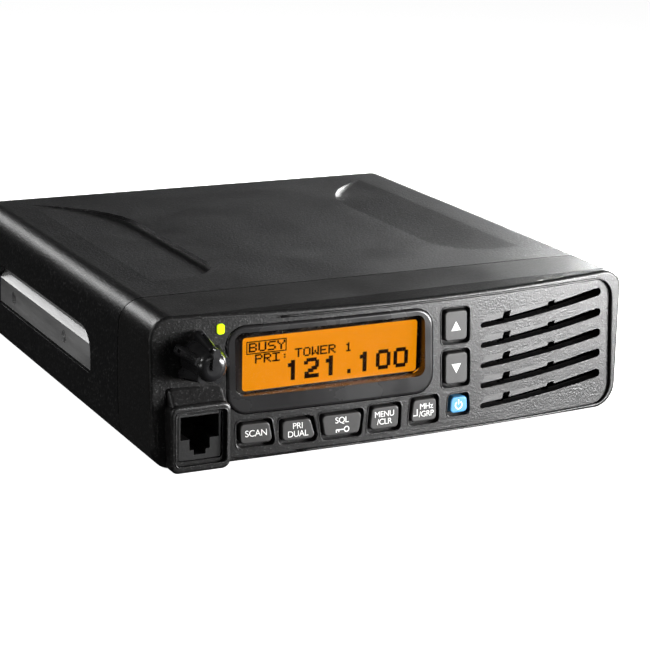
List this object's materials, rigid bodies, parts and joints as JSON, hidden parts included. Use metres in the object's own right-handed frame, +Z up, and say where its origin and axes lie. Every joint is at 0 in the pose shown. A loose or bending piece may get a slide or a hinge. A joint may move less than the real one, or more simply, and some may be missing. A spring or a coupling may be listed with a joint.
{
  "type": "panel-mount air-band transceiver",
  "caption": "Black VHF air-band transceiver box with a curved front panel, amber display, keys, volume knob, speaker grille, microphone socket, side mounting rails and rear connectors.",
  "frame": {"origin": "middle of the bounding box, on the surface the set stands on", "axes": "+X right seen from the front, +Y to the rear, +Z up"},
  "size_m": [0.161, 0.1996, 0.045],
  "materials": {
    "panel_plastic": "fine spark-eroded texture, dark grey",
    "bezel_gloss": "polished black",
    "clear_window": "clear acrylic",
    "lcd_amber": "amber back-lit display glass",
    "light_guide": "clear light guide",
    "white_plastic": "natural white",
    "silicone_mat": "black silicone",
    "knob_plastic": "satin black",
    "machined_aluminium": "turned",
    "brass": "plain",
    "black_plastic": "black",
    "lamp_green": "yellow-green diffuser",
    "gold_contact": "gold plated",
    "louvre_plastic": "smooth grey",
    "speaker_cloth": "black open cloth",
    "plated_steel": "zinc plated",
    "cone_paper": "coated paper cone",
    "magnet_ferrite": "ferrite ring in a steel pot",
    "case_paint": "black wrinkle-grain paint",
    "cast_aluminium": "die cast, machined rail faces",
    "nickel": "nickel plated",
    "board_green": "solder-masked glass epoxy",
    "capacitor_sleeve": "shrink sleeve",
    "ribbon_grey": "flat cable",
    "key_grey": "moulded grey key",
    "key_blue": "moulded blue key"
  },
  "bodies": {
    "transceiver": {"front_panel": "panel_plastic", "lcd_bezel": "bezel_gloss", "lcd_lens": "clear_window", "lcd_glass": "lcd_amber", "lcd_light_guide": "light_guide", "lcd_holder": "white_plastic", "keypad_mat": "silicone_mat", "volume_bush": "brass", "volume_control": "black_plastic", "lamp_pipe": "lamp_green", "mic_jack": "black_plastic", "mic_contacts": "gold_contact", "grille_louvres": "louvre_plastic", "grille_blades": "louvre_plastic", "speaker_cloth": "speaker_cloth", "speaker_frame": "plated_steel", "speaker_cone": "cone_paper", "speaker_magnet": "magnet_ferrite", "case_sleeve": "case_paint", "bottom_plate": "case_paint", "chassis": "cast_aluminium", "aerial_socket": "nickel", "aerial_insulator": "white_plastic", "aerial_contact": "gold_contact", "flange_screws": "plated_steel", "speaker_jack": "nickel", "data_socket": "plated_steel", "data_insert": "black_plastic", "power_socket": "white_plastic", "power_blades": "brass", "front_board": "board_green", "main_board": "board_green", "receiver_can": "plated_steel", "synthesizer_can": "plated_steel", "filter_can": "plated_steel", "output_module": "black_plastic", "capacitors": "capacitor_sleeve", "ribbon_cable": "ribbon_grey", "plate_screws": "plated_steel", "panel_frame": "cast_aluminium"},
    "knob": {"volume_knob": "knob_plastic", "volume_shaft": "machined_aluminium"},
    "key_scan": {"key_scan": "key_grey"},
    "key_priority": {"key_priority": "key_grey"},
    "key_squelch": {"key_squelch": "key_grey"},
    "key_menu": {"key_menu": "key_grey"},
    "key_enter": {"key_enter": "key_grey"},
    "key_power": {"key_power": "key_blue"},
    "key_down": {"key_down": "key_grey"},
    "key_up": {"key_up": "key_grey"}
  },
  "joints": [
    {"name": "volume_turn", "type": "hinge", "parent": "transceiver", "child": "knob", "pos_m": [-0.0666, -0.0912, 0.033], "axis": [0, -1, 0], "range_deg": [-150, 150]},
    {"name": "press_scan", "type": "slide", "parent": "transceiver", "child": "key_scan", "axis": [0, 1, 0], "range_m": [0, 0.0007], "stiffness_N_per_m": 1500},
    {"name": "press_priority", "type": "slide", "parent": "transceiver", "child": "key_priority", "axis": [0, 1, 0], "range_m": [0, 0.0007], "stiffness_N_per_m": 1500},
    {"name": "press_squelch", "type": "slide", "parent": "transceiver", "child": "key_squelch", "axis": [0, 1, 0], "range_m": [0, 0.0007], "stiffness_N_per_m": 1500},
    {"name": "press_menu", "type": "slide", "parent": "transceiver", "child": "key_menu", "axis": [0, 1, 0], "range_m": [0, 0.0007], "stiffness_N_per_m": 1500},
    {"name": "press_enter", "type": "slide", "parent": "transceiver", "child": "key_enter", "axis": [0, 1, 0], "range_m": [0, 0.0007], "stiffness_N_per_m": 1500},
    {"name": "press_power", "type": "slide", "parent": "transceiver", "child": "key_power", "axis": [0, 1, 0], "range_m": [0, 0.0007], "stiffness_N_per_m": 1500},
    {"name": "press_down", "type": "slide", "parent": "transceiver", "child": "key_down", "axis": [0, 1, 0], "range_m": [0, 0.0007], "stiffness_N_per_m": 1500},
    {"name": "press_up", "type": "slide", "parent": "transceiver", "child": "key_up", "axis": [0, 1, 0], "range_m": [0, 0.0007], "stiffness_N_per_m": 1500}
  ]
}
